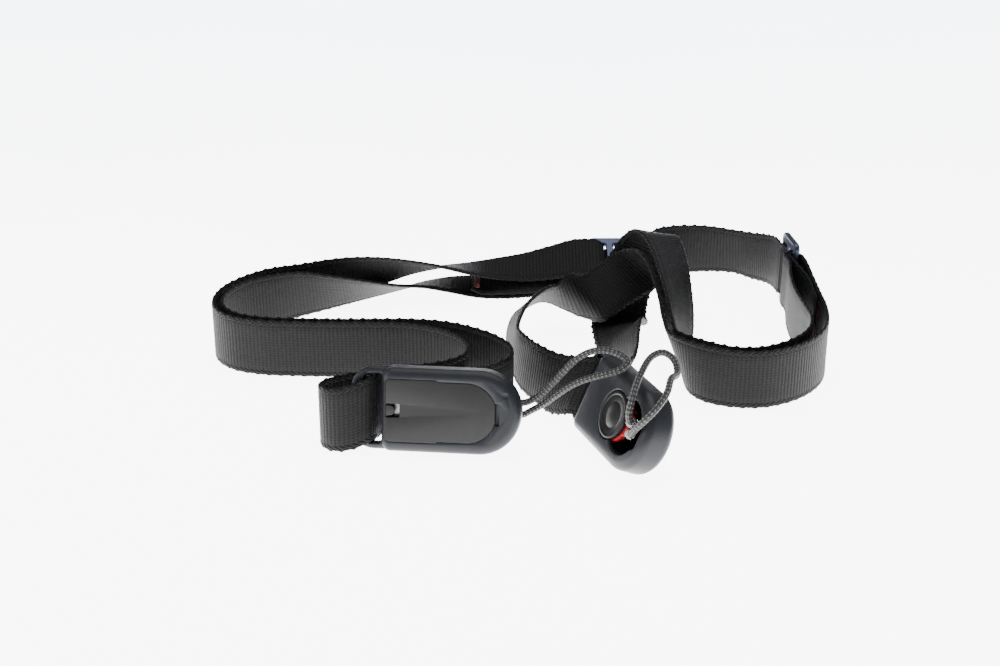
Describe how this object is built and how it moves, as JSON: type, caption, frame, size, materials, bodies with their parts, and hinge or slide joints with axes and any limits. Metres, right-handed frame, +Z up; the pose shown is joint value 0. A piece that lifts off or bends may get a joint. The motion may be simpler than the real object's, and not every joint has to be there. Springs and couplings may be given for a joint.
{
  "type": "quick-release camera strap",
  "caption": "Black webbing carrying strap laid in loops, with two metal slide adjusters and an oblong quick-release connector, round anchor and cord loop at each end.",
  "frame": {"origin": "middle of the footprint, on the surface the strap lies on", "axes": "+Z up, +X along the longest side of the laid-out strap, -Y towards the two connectors"},
  "size_m": [0.2052, 0.181, 0.034],
  "materials": {
    "webbing": "ribbed weave",
    "stitching": "dense stitches",
    "adjuster_metal": "anodised satin",
    "link_plastic": "fine texture",
    "cover_plastic": "fine texture",
    "spring_steel": "satin",
    "cap_black": "smooth",
    "anchor_red": "smooth",
    "cord": "braided"
  },
  "bodies": {
    "webbing": {"bartack_1": "stitching", "bartack_2": "stitching", "sewn_end_1": "webbing", "sewn_end_2": "webbing", "sewn_tail_1": "webbing", "sewn_tail_2": "webbing", "strap_arch_lower": "webbing", "strap_arch_upper": "webbing", "strap_back_a_inner": "webbing", "strap_back_a_outer": "webbing", "strap_front_left_inner": "webbing", "strap_front_left_outer": "webbing", "strap_front_right_inner": "webbing", "strap_front_right_outer": "webbing", "strap_left_bend_inner": "webbing", "strap_left_bend_outer": "webbing", "strap_left_twist_lower": "webbing", "strap_left_twist_upper": "webbing", "strap_loop_a": "webbing", "strap_loop_b": "webbing", "strap_main": "webbing", "strap_main_start": "webbing", "strap_right_inner": "webbing", "strap_right_outer": "webbing", "strap_ring_b": "webbing", "strap_rise_lower": "webbing", "strap_rise_upper": "webbing", "strap_to_b": "webbing", "strap_u_turn_inner": "webbing", "strap_u_turn_outer": "webbing", "strap_under_arch": "webbing", "strap_weave_1": "webbing", "strap_weave_2": "webbing"},
    "link_a": {"link_housing_a": "link_plastic", "link_cover_a": "cover_plastic"},
    "press_a": {"link_spring_a": "spring_steel"},
    "anchor_a": {"anchor_base_a": "anchor_red", "anchor_cap_a": "cap_black", "anchor_cord_a": "cord"},
    "link_b": {"link_housing_b": "link_plastic", "link_cover_b": "cover_plastic"},
    "press_b": {"link_spring_b": "spring_steel"},
    "anchor_b": {"anchor_base_b": "anchor_red", "anchor_cap_b": "cap_black", "anchor_cord_b": "cord"},
    "adjuster_1": {"adjuster_1": "adjuster_metal"},
    "adjuster_2": {"adjuster_2": "adjuster_metal"}
  },
  "joints": [
    {"name": "link_a_swing", "type": "hinge", "parent": "webbing", "child": "link_a", "pos_m": [-0.04748, -0.06211, 0.01256], "axis": [-0.0253, -0.2406, -0.9703], "range_deg": [-2, 8], "stiffness_Nm_per_rad": 0.05},
    {"name": "anchor_a_press", "type": "slide", "parent": "link_a", "child": "press_a", "axis": [-0.1014, -0.965, 0.2419], "range_m": [0, 0.0012], "stiffness_N_per_m": 800, "springref_m": -0.0004},
    {"name": "anchor_a_slide", "type": "slide", "parent": "press_a", "child": "anchor_a", "axis": [0.9945, -0.1045, 0], "range_m": [0, 0.0078], "deforming": ["anchor_cord_a"]},
    {"name": "link_b_swing", "type": "hinge", "parent": "webbing", "child": "link_b", "pos_m": [0.02047, -0.04448, 0.0124], "axis": [-0.3822, -0.1391, -0.9135], "range_deg": [-5, 3], "stiffness_Nm_per_rad": 0.05},
    {"name": "anchor_b_press", "type": "slide", "parent": "link_b", "child": "press_b", "axis": [0.8585, 0.3125, -0.4067], "range_m": [0, 0.0012], "stiffness_N_per_m": 800, "springref_m": -0.0004},
    {"name": "anchor_b_slide", "type": "slide", "parent": "press_b", "child": "anchor_b", "axis": [0.342, -0.9397, 0], "range_m": [0, 0.0078], "deforming": ["anchor_cord_b"]},
    {"name": "adjuster_1_tilt", "type": "hinge", "parent": "webbing", "child": "adjuster_1", "pos_m": [0.0286, 0.0775, 0.0075], "axis": [0, -0.9063, -0.4226], "range_deg": [0, 14], "stiffness_Nm_per_rad": 0.02, "deforming": ["strap_weave_1", "sewn_end_1"]},
    {"name": "adjuster_2_tilt", "type": "hinge", "parent": "webbing", "child": "adjuster_2", "pos_m": [0.0986, 0.04232, 0.0136], "axis": [0, 0, 1], "range_deg": [0, 14], "stiffness_Nm_per_rad": 0.02, "deforming": ["strap_weave_2", "sewn_end_2"]}
  ]
}
